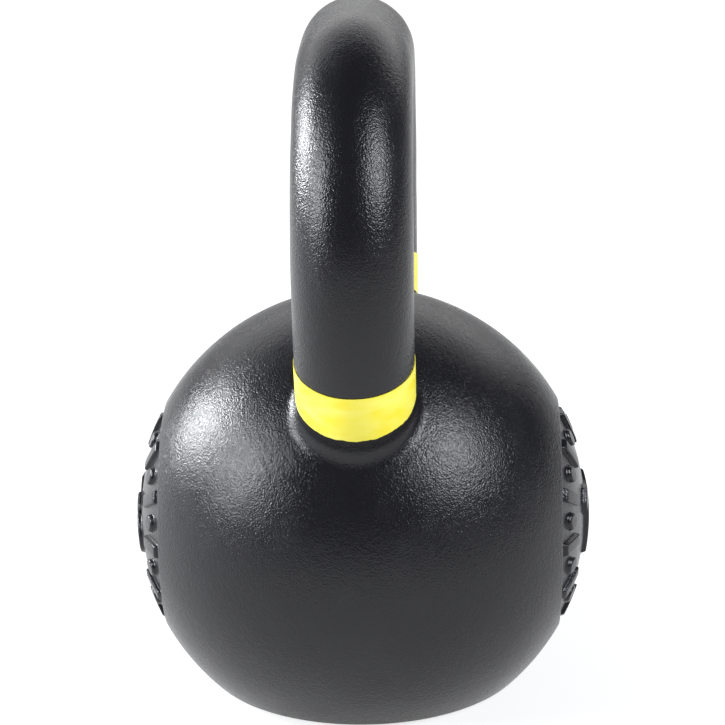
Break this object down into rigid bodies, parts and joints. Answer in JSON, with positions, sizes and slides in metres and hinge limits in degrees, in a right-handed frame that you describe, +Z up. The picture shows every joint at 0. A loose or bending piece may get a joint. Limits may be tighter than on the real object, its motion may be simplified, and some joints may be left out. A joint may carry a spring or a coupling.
{
  "type": "kettlebell",
  "caption": "Black powder-coated cast iron kettlebell with a round bar handle, a flat base, a yellow colour band on each leg and a raised round medallion on the front and the back.",
  "frame": {"origin": "centre of the flat base, on the floor", "axes": "+Z up through the ball and the handle, +X along the grip, -Y towards the front medallion"},
  "size_m": [0.17, 0.1564, 0.2305],
  "materials": {
    "black_coat": "satin",
    "yellow_enamel": "satin"
  },
  "bodies": {
    "root": {"ball": "black_coat", "handle": "black_coat", "colour_band_right": "yellow_enamel", "colour_band_left": "yellow_enamel", "front_medallion": "black_coat", "back_medallion": "black_coat"}
  },
  "joints": []
}
